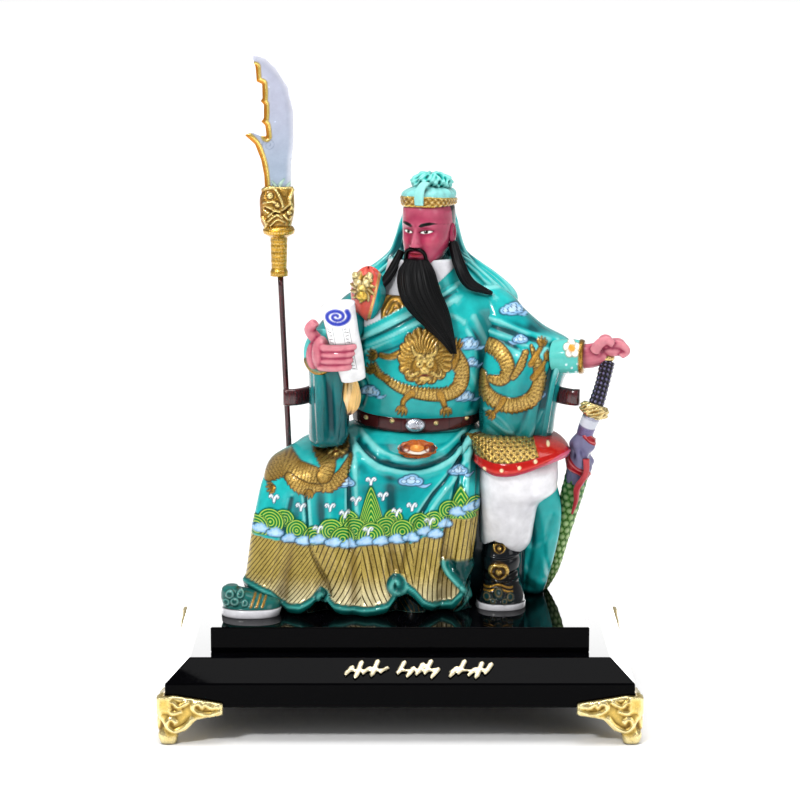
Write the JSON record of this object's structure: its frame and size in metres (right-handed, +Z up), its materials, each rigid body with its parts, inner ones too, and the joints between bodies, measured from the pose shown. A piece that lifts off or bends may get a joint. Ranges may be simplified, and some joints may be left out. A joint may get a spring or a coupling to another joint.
{
  "type": "guan yu figure",
  "caption": "Painted glazed figure of a bearded general seated on a chair, scroll in one hand, sword under the other, halberd beside him, on a footed black lacquer base.",
  "frame": {"origin": "on the ground under the middle of the base, midway between the four feet", "axes": "+Z up, -Y towards the viewer of the figure's front, +X to that viewer's right"},
  "size_m": [0.4204, 0.3254, 0.5815],
  "materials": {
    "lacquer": "black high-gloss lacquer over board",
    "gilt": "bright gilt cast metal",
    "glaze": "hand painted glossy glaze in several colours",
    "stained": "maroon painted and varnished",
    "bright": "silver and gold paint, glossy",
    "scabbard": "green scaled scabbard, dark wrapped grip, gold fittings"
  },
  "bodies": {
    "root": {"base_board": "lacquer", "base_step": "lacquer", "foot_front_left": "gilt", "foot_front_right": "gilt", "foot_back_left": "gilt", "foot_back_right": "gilt", "inscription_left": "gilt", "inscription_middle": "gilt", "inscription_right": "gilt", "chair": "stained", "figure": "glaze", "sword": "scabbard", "halberd_shaft": "stained", "halberd_blade": "bright"}
  },
  "joints": []
}
